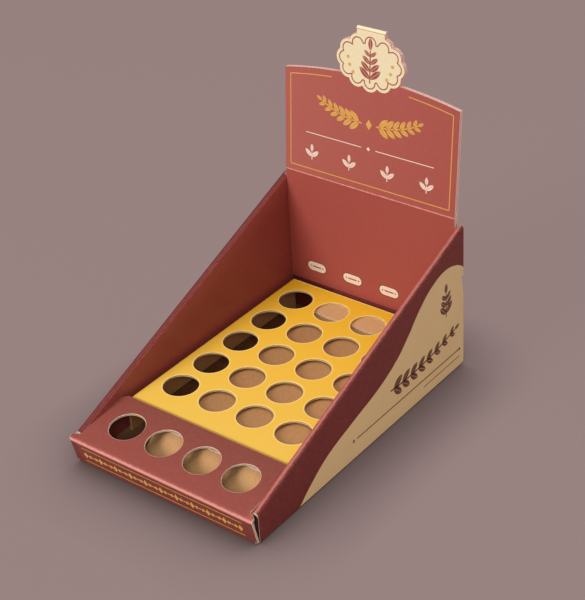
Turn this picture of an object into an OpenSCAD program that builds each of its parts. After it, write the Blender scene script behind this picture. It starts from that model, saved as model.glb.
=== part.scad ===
// Counter display for small round goods, folded from printed corrugated board.
// A tray with roll-over side walls carries a header card, a drilled platform and a plain inner support.
// Origin: middle of the tray's underside. +X is to the right of the display, +Y to its back, +Z up.
// The tray's square folds are drawn flat, printed face at z = 0, and fold towards +z, its inner side.
// Its front, the card, the platform and the support are drawn as sections and trimmed to their outlines.

/* [Board] */
// Thickness of the corrugated board
board_t = 1.3; // [1:0.1:1.8]
// Inside radius of a crease
crease_r = 0.6; // [0.4:0.1:1]
// Air between two boards that lie face to face
ply_clear = 0.1; // [0.05:0.05:0.3]
// Air at each side of a panel that stands between two walls
side_clear = 0.2; // [0.1:0.1:0.6]

/* [Tray] */
// Width across the outer faces of the side walls
tray_w = 129; // [124:1:150]
// Depth from the foot of the front wall to the back wall
tray_d = 197; // [190:1:215]
// Height of the side walls at their front end
side_front_h = 19; // [14:0.5:20]
// Height of the side walls at the back
side_back_h = 94.5; // [80:0.5:110]
// Height of the fold along the top of the front wall
front_h = 19.5; // [15:0.5:21]
// Outward lean of the front wall, in degrees
front_lean = 12; // [0:1:16]
// Depth of the glued ears that the back wall has between the plies of the side walls
ear_d = 26; // [15:1:40]
// Length of each locking tab under the side walls
lock_tab_w = 22; // [12:1:30]
// Height above the table of the tapered relief in the back edge of each side wall
relief_top = 62; // [40:1:70]
// Length over which that relief runs out downwards
relief_h = 13.5; // [8:0.5:20]
// Depth of the relief at its top
relief_d = 2; // [1:0.25:4]

/* [Shelf] */
// From the foot of the front wall back to the platform
shelf_d = 36.5; // [33:0.5:42]
// How far the shelf's rear edge lies over the platform
shelf_lap = 1.7; // [1:0.1:3]
// Cut-off at the shelf's rear corners
shelf_corner = 3; // [1:0.5:6]
// Length over which the shelf narrows behind the front fold
shelf_shoulder = 3; // [2:0.25:3.25]

/* [Platform] */
// Height of the platform's upper face above the table
platform_h = 22.9; // [21:0.1:26]
// Air between the platform and each side wall
platform_gap = 2.9; // [2:0.1:5]
// Air between the platform and the card behind it
platform_back_gap = 3.8; // [2:0.1:6]
// Diameter of a hole
hole_d = 21; // [16:0.5:23]
// Distance from hole to hole
hole_pitch = 27; // [25:0.5:32]
// Least board between the outer holes and the folds at the platform's sides
hole_side_margin = 4; // [3:0.5:8]
// From the last row of holes to the platform's back edge
row_back_margin = 18.9; // [15:0.1:22]
// Least distance from the first row of holes to the platform's front edge
row_front_margin = 20; // [16:0.5:26]
// Length of the foot at each end of a leg
foot_len = 12; // [8:1:30]
// Height of the cut-out between the feet
foot_rise = 4.4; // [3:0.2:8]

/* [Header card] */
// Height of the card's crease above the side walls
header_neck = 4.2; // [2:0.1:8]
// Height of the card's upper corners above its crease
header_h = 64.3; // [50:0.1:90]
// Rise of the arched top edge over its corners
arch_rise = 6; // [2:0.5:12]
// Backward lean of the card above its crease, in degrees
header_lean = 5; // [1:0.5:10]
// Width of the scalloped medallion
medallion_w = 47; // [40:0.5:60]
// Height of the scalloped medallion
medallion_h = 35; // [30:0.5:45]
// Scallops round the medallion
medallion_lobes = 12; // [10:2:16]
// Radius of one scallop
lobe_r = 6; // [5:0.25:7]
// Height of the medallion's centre above the arched edge
medallion_lift = 8.7; // [4:0.1:14]
// Width of the tab that joins the card's two plies at the top
tab_w = 19.6; // [12:0.1:28]
// How far that tab stands above the medallion
tab_proud = 2.5; // [1.5:0.1:6]
// Length of the card's tuck flap under the platform
tuck_d = 26; // [15:0.5:30]
// Width of the tuck flap
tuck_w = 58; // [50:1:80]

/* [Inner support] */
// Columns at the left that the support leaves open
open_cols = 1; // [1:1:2]
// How far the support reaches past half the pitch from the last column that it closes
support_reach = 3.5; // [0:0.5:5]
// How far the support's deck runs forward of the platform
apron_ahead = 6; // [3:0.5:8]
// Slope of the apron below the shelf, in degrees
apron_slope = 36; // [34:1:50]

/* [Hidden] */

// Length by which a cutter passes the face that it cuts
overrun = 1;
// Facets of the small rounds and of the wide arch, and steps along one crease of a profile
round_fn = 48;
arch_fn = 360;
crease_steps = 8;

// Colours of the printed and plain faces
maroon = [0.60, 0.28, 0.25];
rose = [0.68, 0.35, 0.31];
yellow = [0.93, 0.70, 0.20];
kraft = [0.70, 0.53, 0.36];

// Outer radius of a crease, and the place where a fold at the tray's rim begins
bend_r = board_t + crease_r;
rim_x = tray_w / 2 - bend_r;
rim_y = tray_d / 2 - bend_r;

// A side wall is two plies with room for an ear between them
wall_t = 3 * board_t + 2 * ply_clear;
inner_w = tray_w - 2 * wall_t;
side_slope = atan2(side_back_h - side_front_h, tray_d);
slope_len = tray_d / cos(side_slope);
// Lower edge of the folded top of a side wall, measured down from its ridge
fold_drop = wall_t / cos(side_slope);
inner_ply_back = rim_y - ply_clear;

// The back wall stands between the side walls, and its ears start at its flat edges
back_flat_w = tray_w - 2 * (board_t + ply_clear + bend_r);
back_wall_len = side_back_h - bend_r;
ear_top = side_back_h - fold_drop - side_clear - ear_d * tan(side_slope);
ear_taper = ear_d * tan(side_slope);
ear_foot = 2 * bend_r;

// Locking tabs sit at a quarter of the depth from the tray's middle
tab_place_share = 0.25;
lock_tab_y = tray_d * tab_place_share;

// The card stands against the back wall
card_w = inner_w - 2 * side_clear;
card_back = tray_d / 2 - board_t - ply_clear;
card_front = card_back - board_t;
// Its crease, and the height where the front faces would meet there without a round
card_crease = [card_back + crease_r, side_back_h + header_neck];
crease_z = card_crease.y + bend_r * tan(header_lean / 2);
arch_r = (pow(card_w / 2, 2) + pow(arch_rise, 2)) / (2 * arch_rise);
medallion_s = header_h + arch_rise + medallion_lift;
tab_top = medallion_s + medallion_h / 2 + tab_proud;
tab_fold_r = ply_clear / 2;
header_t = 2 * board_t + ply_clear;

// The platform stands on the tray's base with the feet of its legs
base_top = board_t + ply_clear;
platform_w = inner_w - 2 * platform_gap;
platform_back = card_front - platform_back_gap;
platform_front = shelf_d - tray_d / 2;
platform_len = platform_back - platform_front;
platform_mid = (platform_back + platform_front) / 2;

// The platform has as many rows and columns of holes as it has room for
row_room = platform_len - row_back_margin - row_front_margin;
col_room = platform_w - 2 * bend_r - 2 * hole_side_margin - hole_d;
row_count = floor(row_room / hole_pitch) + 1;
col_count = floor(col_room / hole_pitch) + 1;
last_row = platform_back - row_back_margin;

// The tuck flap lies between the platform and the support's deck, and the card's legs stand beside it
tuck_h = platform_h - 2 * board_t - ply_clear;
deck_h = tuck_h - ply_clear;
lining_foot = tuck_h + bend_r + side_clear;
card_leg_w = (card_w - tuck_w) / 2 - side_clear;

// The front wall and the shelf that folds back from it
front_wall_len = (front_h - 2 * bend_r) / cos(front_lean);
front_foot = [-rim_y, bend_r];
front_fold = front_foot + front_wall_len * [-sin(front_lean), cos(front_lean)];
shelf_run = platform_front - front_fold.x;
shelf_rise = platform_h + ply_clear - front_fold.y;
shelf_reach = norm([shelf_run, shelf_rise]);
shelf_slope = atan2(shelf_rise, shelf_run) - asin(crease_r / shelf_reach);
shelf_len = sqrt(pow(shelf_reach, 2) - pow(crease_r, 2)) + shelf_lap;
shelf_w = inner_w - 2 * side_clear;

// The support stands under the columns that it closes
support_right = platform_w / 2 - board_t - side_clear;
support_left = (open_cols - col_count / 2) * hole_pitch - support_reach;
support_w = support_right - support_left;
support_mid = (support_right + support_left) / 2;
deck_front = platform_front - apron_ahead;
deck_back = platform_back;
deck_len = deck_back - deck_front;
apron_len = (deck_h - bend_r + crease_r * cos(apron_slope) - base_top) / sin(apron_slope);

// Centre of a hole from the middle of its row
function hole_x(col) = (col - (col_count - 1) / 2) * hole_pitch;

// Direction at an angle, and points along an arc from one angle to another
function toward(a) = [cos(a), sin(a)];
function arc(centre, r, a, b) =
    [for (i = [0 : crease_steps]) centre + r * toward(a + (b - a) * i / crease_steps)];

// A flat panel that runs from the origin along +Y
module panel(w, len) {
    translate([-w / 2, 0, 0]) cube([w, len, board_t]);
}

// A crease at the origin that turns a board coming along +Y towards +Z, with what follows it as children
module bend(turn, span, r = crease_r) {
    translate([0, 0, board_t + r]) {
        rotate([0, 90, 0]) rotate_extrude(angle = turn, $fn = round_fn)
            translate([r, -span / 2]) square([board_t, span]);
        rotate([turn, 0, 0]) translate([0, 0, -board_t - r]) children();
    }
}

// A profile drawn in Y and Z, as wide as w
module strip(points, w) {
    rotate([90, 0, 90]) linear_extrude(w, center = true) polygon(points);
}

// A profile drawn in X and Z, as long as len
module channel(points, len) {
    rotate([90, 0, 0]) linear_extrude(len, center = true) polygon(points);
}

// Section of a top of width w at height h, with a leg folded down to the tray's base at each side
function legs_section(w, h) =
    let (
        right = [w / 2 - bend_r, h - bend_r],
        left = [-right.x, right.y]
    )
    concat(
        [[-w / 2, base_top]],
        arc(left, bend_r, 180, 90),
        arc(right, bend_r, 90, 0),
        [[w / 2, base_top], [w / 2 - board_t, base_top]],
        arc(right, crease_r, 0, 90),
        arc(left, crease_r, 90, 180),
        [[board_t - w / 2, base_top]]
    );

// Both sides of a shape that is drawn on the right
module both_sides() {
    children();
    mirror([1, 0, 0]) children();
}

module hole_row() {
    for (col = [0 : col_count - 1]) translate([hole_x(col), 0]) circle(d = hole_d, $fn = round_fn);
}

// Base of the tray, with slots for the locking tabs of the side walls
module tray_base() {
    difference() {
        translate([-rim_x, -rim_y, 0]) cube([2 * rim_x, 2 * rim_y, board_t]);
        both_sides() lock_tabs(side_clear);
    }
}

// Locking tabs under the right inner ply, grown by a clearance for their slots
module lock_tabs(grow) {
    for (end = [-1, 1])
        translate([inner_w / 2 - grow, end * lock_tab_y - lock_tab_w / 2 - grow, grow > 0 ? -overrun : 0])
            cube([board_t + 2 * grow, lock_tab_w + 2 * grow, base_top + overrun]);
}

// Section of a side wall across its sloping top: two plies under a half-round fold
module roll_section() {
    fold_r = wall_t / 2;
    leg = side_back_h;
    translate([tray_w / 2 - fold_r, -fold_r]) {
        intersection() {
            difference() {
                circle(fold_r, $fn = round_fn);
                circle(fold_r - board_t, $fn = round_fn);
            }
            translate([-fold_r - overrun, 0]) square([wall_t + 2 * overrun, fold_r + overrun]);
        }
        for (ply = [-fold_r, fold_r - board_t]) translate([ply, -leg]) square([board_t, leg]);
    }
}

// Tapered relief at the back edge of the right outer ply, which runs out downwards
module edge_relief() {
    back = tray_d / 2;
    run_out = relief_h * (relief_d + overrun) / relief_d;
    translate([tray_w / 2, 0, 0]) strip([
        [back - relief_d, relief_top],
        [back + overrun, relief_top],
        [back + overrun, relief_top - run_out]
    ], 2 * (board_t + ply_clear));
}

// Right side wall: the rolled section follows the slope and is trimmed to the tray
module side_wall() {
    difference() {
        intersection() {
            translate([0, -tray_d / 2, side_front_h]) rotate([side_slope, 0, 0])
                translate([0, slope_len, 0]) rotate([90, 0, 0])
                    linear_extrude(slope_len + tray_d) roll_section();
            union() {
                translate([tray_w / 2 - wall_t / 2, -rim_y, bend_r])
                    cube([wall_t, rim_y + tray_d / 2, side_back_h]);
                translate([inner_w / 2 - overrun, -rim_y, base_top])
                    cube([wall_t / 2 + overrun, rim_y + inner_ply_back, side_back_h]);
            }
        }
        edge_relief();
    }
    lock_tabs(0);
    translate([rim_x, 0, 0]) rotate([0, 0, -90]) bend(90, 2 * rim_y);
}

// Ear of the back wall, between the plies of a side wall, cut low enough to clear the sloping fold
module ear() {
    bend(90, ear_top - ear_foot)
        linear_extrude(board_t)
            polygon([
                [-(ear_top - ear_foot) / 2, 0],
                [(ear_top - ear_foot) / 2, 0],
                [(ear_top - ear_foot) / 2 - ear_taper, ear_d],
                [-(ear_top - ear_foot) / 2, ear_d]
            ]);
}

// Back wall, folded up from the base, with an ear at each end
module back_wall() {
    ear_mid = (ear_top + ear_foot) / 2 - bend_r;
    translate([0, rim_y, 0]) bend(90, back_flat_w) {
        panel(card_w, back_wall_len);
        panel(back_flat_w, ear_top - bend_r);
        both_sides() translate([back_flat_w / 2, ear_mid, 0]) rotate([0, 0, -90]) mirror([1, 0, 0]) ear();
    }
}

// Front wall and shelf in section, rolled up and back from the base
function front_section() =
    let (wall = 180 + front_lean, shelf = 90 + shelf_slope, run = shelf_len * toward(shelf_slope))
    concat(
        [[overrun - rim_y, 0]],
        arc(front_foot, bend_r, 270, wall),
        arc(front_fold, bend_r, wall, shelf),
        [front_fold + bend_r * toward(shelf) + run, front_fold + crease_r * toward(shelf) + run],
        arc(front_fold, crease_r, shelf, wall),
        arc(front_foot, crease_r, wall, 270),
        [[overrun - rim_y, board_t]]
    );

// What is cut away beside the right edge of the shelf
module shelf_trim() {
    outside = tray_w / 2 + overrun;
    polygon([
        [outside, crease_r],
        [tray_w / 2, crease_r],
        [shelf_w / 2, shelf_shoulder],
        [shelf_w / 2, shelf_len - shelf_corner],
        [shelf_w / 2 - shelf_corner, shelf_len],
        [shelf_w / 2 - shelf_corner, shelf_len + overrun],
        [outside, shelf_len + overrun]
    ]);
}

// Front wall and shelf, with the shelf's edges and holes cut square to its face
module front_roll() {
    difference() {
        strip(front_section(), tray_w);
        translate([0, front_fold.x, front_fold.y]) rotate([shelf_slope, 0, 0])
            translate([0, 0, crease_r - overrun]) linear_extrude(board_t + 2 * overrun) {
                both_sides() shelf_trim();
                translate([0, shelf_len / 2]) hole_row();
            }
        both_sides() translate([rim_x, -tray_d / 2 - overrun, -overrun])
            cube([bend_r + overrun, bend_r + 2 * overrun, bend_r + overrun]);
    }
}

// Tray: one sheet, folded into base, back wall, double side walls, front wall and shelf
module outer_tray() {
    color(maroon) {
        tray_base();
        both_sides() side_wall();
        back_wall();
        front_roll();
    }
}

// Scalloped oval, with its lobes on an ellipse inside the stated size
module medallion_outline() {
    turn = 360 / medallion_lobes;
    centres = [for (i = [0 : medallion_lobes - 1])
        [(medallion_w / 2 - lobe_r) * cos(i * turn), (medallion_h / 2 - lobe_r) * sin(i * turn)]];
    polygon(centres);
    for (centre = centres) translate(centre) circle(lobe_r, $fn = round_fn);
}

// Face of the card above its crease: an arched panel, the medallion and the joining tab
module header_outline() {
    intersection() {
        translate([0, header_h + arch_rise - arch_r]) circle(arch_r, $fn = arch_fn);
        translate([-card_w / 2, 0]) square([card_w, header_h + arch_rise]);
    }
    translate([0, medallion_s]) medallion_outline();
    translate([-tab_w / 2, medallion_s]) square([tab_w, tab_top - medallion_s + overrun]);
}

// Card in section: tuck flap, lining, crease, front ply, top fold, and the rear ply down to the back wall
function card_section() =
    let (
        front = 180 - header_lean,
        tuck_bend = [card_back - bend_r, tuck_h + bend_r],
        fold_r = board_t + tab_fold_r,
        fold = card_crease + bend_r * toward(front) + (tab_top - fold_r) * toward(front - 90)
            - fold_r * toward(front),
        rear_inside = board_t + ply_clear,
        rear_foot = side_back_h + ply_clear
    )
    concat(
        [[tuck_bend.x - tuck_d, tuck_h]],
        arc(tuck_bend, bend_r, 270, 360),
        arc(card_crease, crease_r, 180, front),
        arc(fold, tab_fold_r, front, -header_lean),
        [
            [card_front + rear_inside, crease_z - rear_inside * tan(header_lean / 2)],
            [card_front + rear_inside, rear_foot],
            [card_front + header_t, rear_foot],
            [card_front + header_t, crease_z - header_t * tan(header_lean / 2)]
        ],
        arc(fold, fold_r, -header_lean, front),
        arc(card_crease, bend_r, front, 180),
        arc(tuck_bend, crease_r, 360, 270),
        [[tuck_bend.x - tuck_d, tuck_h + board_t]]
    );

// What the card's section keeps: the header's outline, the lining and the narrower tuck flap
module card_blank() {
    face = card_crease + bend_r * toward(180 - header_lean);
    depth = header_t + 2 * overrun;
    translate([0, face.x, face.y]) rotate([90 - header_lean, 0, 0])
        translate([0, 0, -header_t - overrun]) linear_extrude(depth) header_outline();
    translate([-card_w / 2, card_front - overrun, lining_foot])
        cube([card_w, depth, crease_z + overrun - lining_foot]);
    translate([-tuck_w / 2, card_front - tuck_d - overrun, tuck_h - overrun])
        cube([tuck_w, tuck_d + depth, bend_r + 2 * overrun + side_clear]);
}

// Header card, with a leg of its lining on each side of the tuck flap
module header_card() {
    color(rose) {
        intersection() {
            strip(card_section(), card_w + 2 * overrun);
            card_blank();
        }
        both_sides() translate([card_w / 2 - card_leg_w, card_front, bend_r])
            cube([card_leg_w, board_t, lining_foot + overrun - bend_r]);
    }
}

// Platform: a drilled top with a leg folded down along each side, cut away between its two feet
module product_platform() {
    color(yellow) difference() {
        translate([0, platform_mid, 0]) channel(legs_section(platform_w, platform_h), platform_len);
        translate([0, 0, platform_h - board_t - overrun]) linear_extrude(board_t + 2 * overrun)
            for (row = [0 : row_count - 1]) translate([0, last_row - row * hole_pitch]) hole_row();
        translate([-platform_w / 2 - overrun, platform_front + foot_len, base_top - overrun])
            cube([platform_w + 2 * overrun, platform_len - 2 * foot_len, foot_rise + overrun]);
    }
}

// Deck and apron of the support in section
function support_section() =
    let (
        crease = [deck_front, deck_h - bend_r],
        apron = 90 + apron_slope,
        run = apron_len * toward(apron + 90)
    )
    concat(
        [[deck_back, deck_h - board_t], [deck_back, deck_h]],
        arc(crease, bend_r, 90, apron),
        [crease + bend_r * toward(apron) + run, crease + crease_r * toward(apron) + run],
        arc(crease, crease_r, apron, 90)
    );

// Support: a deck on two legs, with an apron that slopes down to the base below the shelf
module inner_support() {
    leg_len = deck_len - 2 * bend_r;
    color(kraft) translate([support_mid, 0, 0]) {
        strip(support_section(), support_w - 2 * bend_r);
        translate([0, deck_back - leg_len / 2, 0]) channel(legs_section(support_w, deck_h), leg_len);
    }
}

outer_tray();
header_card();
product_platform();
inner_support();
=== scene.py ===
"""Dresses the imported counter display.

Each board is a merged copy of its CAD node, with its printed, plain and cut faces told apart. The print is
thin ink laid on the boards. A plain studio with a pale floor stands round the display.
"""

from __future__ import annotations

import logging
import math
from dataclasses import dataclass, replace
from enum import Enum, IntEnum
from typing import Any, Optional, Sequence, Union

import bmesh
import bpy
from bmesh.types import BMesh, BMFace, BMVert
from bpy.types import ID, Material, Node, NodeSocket, NodeTree, Object
from mathutils import Matrix, Vector


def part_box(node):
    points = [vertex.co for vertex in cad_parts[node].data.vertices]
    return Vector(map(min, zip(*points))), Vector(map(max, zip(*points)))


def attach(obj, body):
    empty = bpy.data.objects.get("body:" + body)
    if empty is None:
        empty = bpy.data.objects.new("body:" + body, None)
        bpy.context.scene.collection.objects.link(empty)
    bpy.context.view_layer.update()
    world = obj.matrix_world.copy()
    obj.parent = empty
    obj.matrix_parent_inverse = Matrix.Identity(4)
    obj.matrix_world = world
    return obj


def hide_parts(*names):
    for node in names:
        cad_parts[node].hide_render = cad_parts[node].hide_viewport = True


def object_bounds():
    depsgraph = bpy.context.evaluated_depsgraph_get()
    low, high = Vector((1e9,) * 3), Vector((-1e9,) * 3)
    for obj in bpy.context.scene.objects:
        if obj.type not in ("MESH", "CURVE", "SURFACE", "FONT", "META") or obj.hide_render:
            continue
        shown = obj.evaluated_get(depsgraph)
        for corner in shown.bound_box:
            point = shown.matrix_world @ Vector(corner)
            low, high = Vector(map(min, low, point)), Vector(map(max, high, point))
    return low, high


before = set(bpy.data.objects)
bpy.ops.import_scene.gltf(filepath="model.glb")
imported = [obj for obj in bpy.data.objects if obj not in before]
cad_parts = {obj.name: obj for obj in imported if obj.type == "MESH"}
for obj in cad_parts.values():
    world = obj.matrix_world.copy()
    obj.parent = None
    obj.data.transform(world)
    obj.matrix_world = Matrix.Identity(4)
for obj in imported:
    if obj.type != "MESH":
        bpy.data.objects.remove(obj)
CAD_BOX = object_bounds()

LOG = logging.getLogger("counter_display")
BODY = "root"
FLUTE_MAP = "flute"
MM = 0.001
TINY = 1e-9

Colour = tuple[float, float, float, float]
Point = tuple[float, float]
Point3 = tuple[float, float, float]
SocketValue = Union[NodeSocket, float, Sequence[float]]
Sockets = dict[Any, SocketValue]

RIGHT: Point3 = (1.0, 0.0, 0.0)
BACK: Point3 = (0.0, 1.0, 0.0)
FORWARD: Point3 = (0.0, -1.0, 0.0)
UP: Point3 = (0.0, 0.0, 1.0)
DOWN: Point3 = (0.0, 0.0, -1.0)


def printed(red: int, green: int, blue: int) -> Colour:
    """Turns the bytes of a screen colour into the linear colour that a shader takes.

    Args:
        red: Red, 0 to 255.
        green: Green, 0 to 255.
        blue: Blue, 0 to 255.

    Returns:
        The linear colour with full alpha.
    """
    shares = (value / 255 for value in (red, green, blue))
    # The transfer curve of sRGB
    linear = [s / 12.92 if s <= 0.04045 else ((s + 0.055) / 1.055) ** 2.4 for s in shares]
    return (linear[0], linear[1], linear[2], 1.0)


class Face(IntEnum):
    """Kinds of face on a sheet, in the order of its material slots."""

    PRINT = 0
    PLAIN = 1
    CUT = 2
    ACCENT = 3
    SHADED_FOOT = 4
    FLAP_CUT = 5


class Axis(IntEnum):
    """Axes of the frame, in the order of a point's numbers."""

    X = 0
    Y = 1
    Z = 2


class Shade(Enum):
    """Colours of the boards, the inks and the floor, and of the light and shade painted on the boards."""

    MAROON = printed(168, 79, 71)
    SIDE_MAROON = printed(111, 36, 32)
    # Painted shade on the tray's inner left wall, its front wall and the cut front ends of its side walls
    DEEP_MAROON = printed(78, 25, 20)
    WORN_AND_LIT_MAROON = printed(244, 168, 154)
    CREAM = printed(229, 195, 141)
    PALE_CREAM = printed(242, 229, 192)
    LABEL_WHITE = printed(246, 226, 212)
    YELLOW = printed(246, 201, 88)
    DEEP_YELLOW = printed(248, 188, 8)
    WORN_AND_LIT_YELLOW = printed(255, 226, 140)
    KRAFT = printed(192, 140, 87)
    DARK_KRAFT = printed(160, 110, 62)
    PALE_KRAFT = printed(215, 165, 113)
    LIT_KRAFT = printed(234, 192, 138)
    SHADED_KRAFT = printed(94, 54, 26)
    CUT_PAPER = printed(242, 226, 204)
    FLUTE_GAP = printed(190, 156, 122)
    ROSE_PAPER = printed(248, 208, 196)
    ROSE_GAP = printed(224, 168, 156)
    GOLD = printed(232, 180, 84)
    BROWN = printed(94, 52, 34)
    FLOOR = printed(152, 131, 129)


@dataclass(frozen=True)
class BoardStock:
    """Corrugated board that every sheet is folded from, in metres."""

    thickness: float = 1.3 * MM
    crease: float = 0.6 * MM
    flute_pitch: float = 3.2 * MM
    rim: float = 0.11 * MM
    weld: float = 0.001 * MM

    @property
    def bend(self) -> float:
        """Outer radius of a crease."""
        return self.thickness + self.crease

    @property
    def crown(self) -> float:
        """How far the middle of a square crease lies inside the planes of its two panels."""
        return self.bend * (1 - math.sqrt(0.5))


BOARD = BoardStock()


def configure(item: Any, **settings: Any) -> Any:
    """Sets attributes of an item.

    Args:
        item: A node, a modifier, a light or a camera.
        settings: Its attributes with their values.

    Returns:
        The same item.
    """
    for key, value in settings.items():
        setattr(item, key, value)
    return item


class NodeSheet:
    """A shader node tree with short calls to add nodes and join them."""

    def __init__(self, tree: NodeTree) -> None:
        """Keeps the tree."""
        self.tree = tree

    def fill(self, node: Node, sockets: Sockets) -> Node:
        """Sets a node's inputs, or joins sockets to them.

        Args:
            node: The node.
            sockets: Input names or numbers, with values or sockets to join.

        Returns:
            The same node.
        """
        for key, value in sockets.items():
            if isinstance(value, NodeSocket):
                self.tree.links.new(value, node.inputs[key])
            else:
                node.inputs[key].default_value = value
        return node

    def add(self, kind: str, sockets: Optional[Sockets] = None, **settings: Any) -> Node:
        """Adds a node by its type without the ShaderNode prefix, sets it up and fills its inputs."""
        node = configure(self.tree.nodes.new(f"ShaderNode{kind}"), **settings)
        return self.fill(node, sockets or {})

    def effect(self, group: NodeTree, **sockets: SocketValue) -> Node:
        """Places a shared group and fills its inputs."""
        return self.add("Group", sockets, node_tree=group)

    def math(self, operation: str, *values: SocketValue) -> NodeSocket:
        """Adds a Math node and returns its result."""
        return self.add("Math", dict(enumerate(values)), operation=operation).outputs[0]

    def vector(self, operation: str, *values: SocketValue) -> Node:
        """Adds a Vector Math node."""
        return self.add("VectorMath", dict(enumerate(values)), operation=operation)

    def step(self, value: SocketValue, low: float, high: float) -> NodeSocket:
        """Adds a smooth step from 0 at low to 1 at high and returns its result."""
        sockets = {"Value": value, "From Min": low, "From Max": high}
        return self.add("MapRange", sockets, interpolation_type="SMOOTHSTEP").outputs[0]

    def span(self, value: SocketValue, low: float, high: float) -> NodeSocket:
        """Adds a straight map from 0..1 to low..high and returns its result."""
        return self.add("MapRange", {"Value": value, "To Min": low, "To Max": high}).outputs[0]

    def mix(self, share: SocketValue, first: SocketValue, second: SocketValue) -> NodeSocket:
        """Adds a colour mix, all first at share 0, and returns its result."""
        return self.add("Mix", {0: share, 6: first, 7: second}, data_type="RGBA").outputs[2]

    def tint(self, mask: SocketValue, most: float, first: SocketValue, second: SocketValue) -> NodeSocket:
        """Adds a colour mix by a mask, with the share where the mask is full, and returns its result."""
        return self.mix(self.math("MULTIPLY", mask, most), first, second)

    def noise(self, vector: SocketValue, scale: float, detail: float) -> NodeSocket:
        """Adds a noise texture and returns its value."""
        return self.add("TexNoise", {"Vector": vector, "Scale": scale, "Detail": detail}).outputs[0]

    def bump(self, height: SocketValue, strength: float, distance: float) -> NodeSocket:
        """Adds a bump and returns its normal."""
        return self.add("Bump", {"Height": height, "Strength": strength, "Distance": distance}).outputs[0]

    def place(self) -> NodeSocket:
        """Adds a Texture Coordinate node and returns its Object output."""
        return self.add("TexCoord").outputs["Object"]

    def flute(self) -> Node:
        """Splits the flute map: X runs across the flutes and Y through the thickness."""
        return self.add("SeparateXYZ", {0: self.add("UVMap", uv_map=FLUTE_MAP).outputs[0]})


def new_material(name: str) -> tuple[Material, NodeSheet, Node]:
    """Starts a material.

    Args:
        name: Name of the material.

    Returns:
        The material, its nodes and its shader.
    """
    material = configure(bpy.data.materials.new(name), use_nodes=True)
    return material, NodeSheet(material.node_tree), material.node_tree.nodes["Principled BSDF"]


class PaperEffects:
    """Shader groups that the boards and inks share, each built once."""

    # Scale and detail of the noises
    CLOUDS = (38.0, 3.0)
    RUBS = (620.0, 4.0)
    FELT_DETAIL = 1.0
    # Stretch and scale of the two sets of fibres, and where their product turns into fibre
    FELTS = (((1.0, 0.22, 0.5), 1900.0), ((0.3, 1.0, 1.0), 1700.0))
    FELT_RANGE = (0.1, 0.42)
    # Gain and shift of the rubbing, and where the mark turns into bare paper and painted highlight
    RUB_LEVEL = (1.1, -0.55)
    WORN_AND_LIT_RANGE = (0.15, 0.95)

    def __init__(self) -> None:
        """Builds the groups."""
        self.fibre = self._fibre()
        self.washboard = self._washboard()
        self.wear_and_highlight = self._wear_and_highlight()

    @staticmethod
    def _group(name: str, inputs: dict[str, str], outputs: Sequence[str]) -> tuple[NodeSheet, Any, Any]:
        """Starts a group.

        Args:
            name: Name of the group.
            inputs: Input names with their socket types, without the NodeSocket prefix.
            outputs: Names of its outputs, all values.

        Returns:
            The group's sheet, its inputs by name and its output node.
        """
        tree = bpy.data.node_groups.new(name, "ShaderNodeTree")
        for key, kind in inputs.items():
            tree.interface.new_socket(name=key, in_out="INPUT", socket_type=f"NodeSocket{kind}")
        for key in outputs:
            tree.interface.new_socket(name=key, in_out="OUTPUT", socket_type="NodeSocketFloat")
        source = tree.nodes.new("NodeGroupInput")
        return NodeSheet(tree), source.outputs, tree.nodes.new("NodeGroupOutput")

    def _fibre(self) -> NodeTree:
        """Builds the cloudy tone and the fine felted fibres of paper.

        Returns:
            The group's tree.
        """
        sheet, source, sink = self._group("paper_fibre", {"Vector": "Vector"}, ("Cloud", "Fibre"))
        felts = []
        for stretch, scale in self.FELTS:
            threads = sheet.add("Mapping", {"Vector": source["Vector"], "Scale": stretch}).outputs[0]
            felts.append(sheet.noise(threads, scale, self.FELT_DETAIL))
        fibre = sheet.step(sheet.math("MULTIPLY", *felts), *self.FELT_RANGE)
        sheet.fill(sink, {"Cloud": sheet.noise(source["Vector"], *self.CLOUDS), "Fibre": fibre})
        return sheet.tree

    def _washboard(self) -> NodeTree:
        """Builds the faint waves that the flutes press into the liner.

        Returns:
            The group's tree.
        """
        inputs = dict.fromkeys(("Across", "Pitch"), "Float")
        sheet, source, sink = self._group("flute_washboard", inputs, ("Wave",))
        turns = sheet.math("DIVIDE", source["Across"], source["Pitch"])
        wave = sheet.math("SINE", sheet.math("MULTIPLY", turns, math.tau))
        sheet.fill(sink, {"Wave": sheet.math("MULTIPLY_ADD", wave, 0.5, 0.5)})
        return sheet.tree

    def _wear_and_highlight(self) -> NodeTree:
        """Builds the rubbed, cracked ink along a straight fold, which also paints a highlight along a fold's
        crown.

        Returns:
            The group's tree.
        """
        inputs = dict.fromkeys(("Vector", "Point", "Direction"), "Vector")
        inputs.update(dict.fromkeys(("Reach", "Ragged"), "Float"))
        sheet, source, sink = self._group("fold_wear_and_highlight", inputs, ("Mask",))
        offset = sheet.vector("SUBTRACT", source["Vector"], source["Point"]).outputs[0]
        crossed = sheet.vector("CROSS_PRODUCT", offset, source["Direction"]).outputs[0]
        distance = sheet.vector("LENGTH", crossed).outputs["Value"]
        near = sheet.math("SUBTRACT", 1.0, sheet.math("DIVIDE", distance, source["Reach"]))
        rubbed = sheet.math("MULTIPLY_ADD", sheet.noise(source["Vector"], *self.RUBS), *self.RUB_LEVEL)
        worn_and_lit = sheet.math("MULTIPLY_ADD", rubbed, source["Ragged"], near)
        sheet.fill(sink, {"Mask": sheet.step(worn_and_lit, *self.WORN_AND_LIT_RANGE)})
        return sheet.tree


@dataclass(frozen=True)
class Fold:
    """A straight fold in the right half of the display, by a point on its crown and its direction."""

    point: Point3
    direction: Point3
    reach: float = 0.9 * MM
    strength: float = 0.7
    both_sides: bool = True
    ragged: float = 1.0


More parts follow.
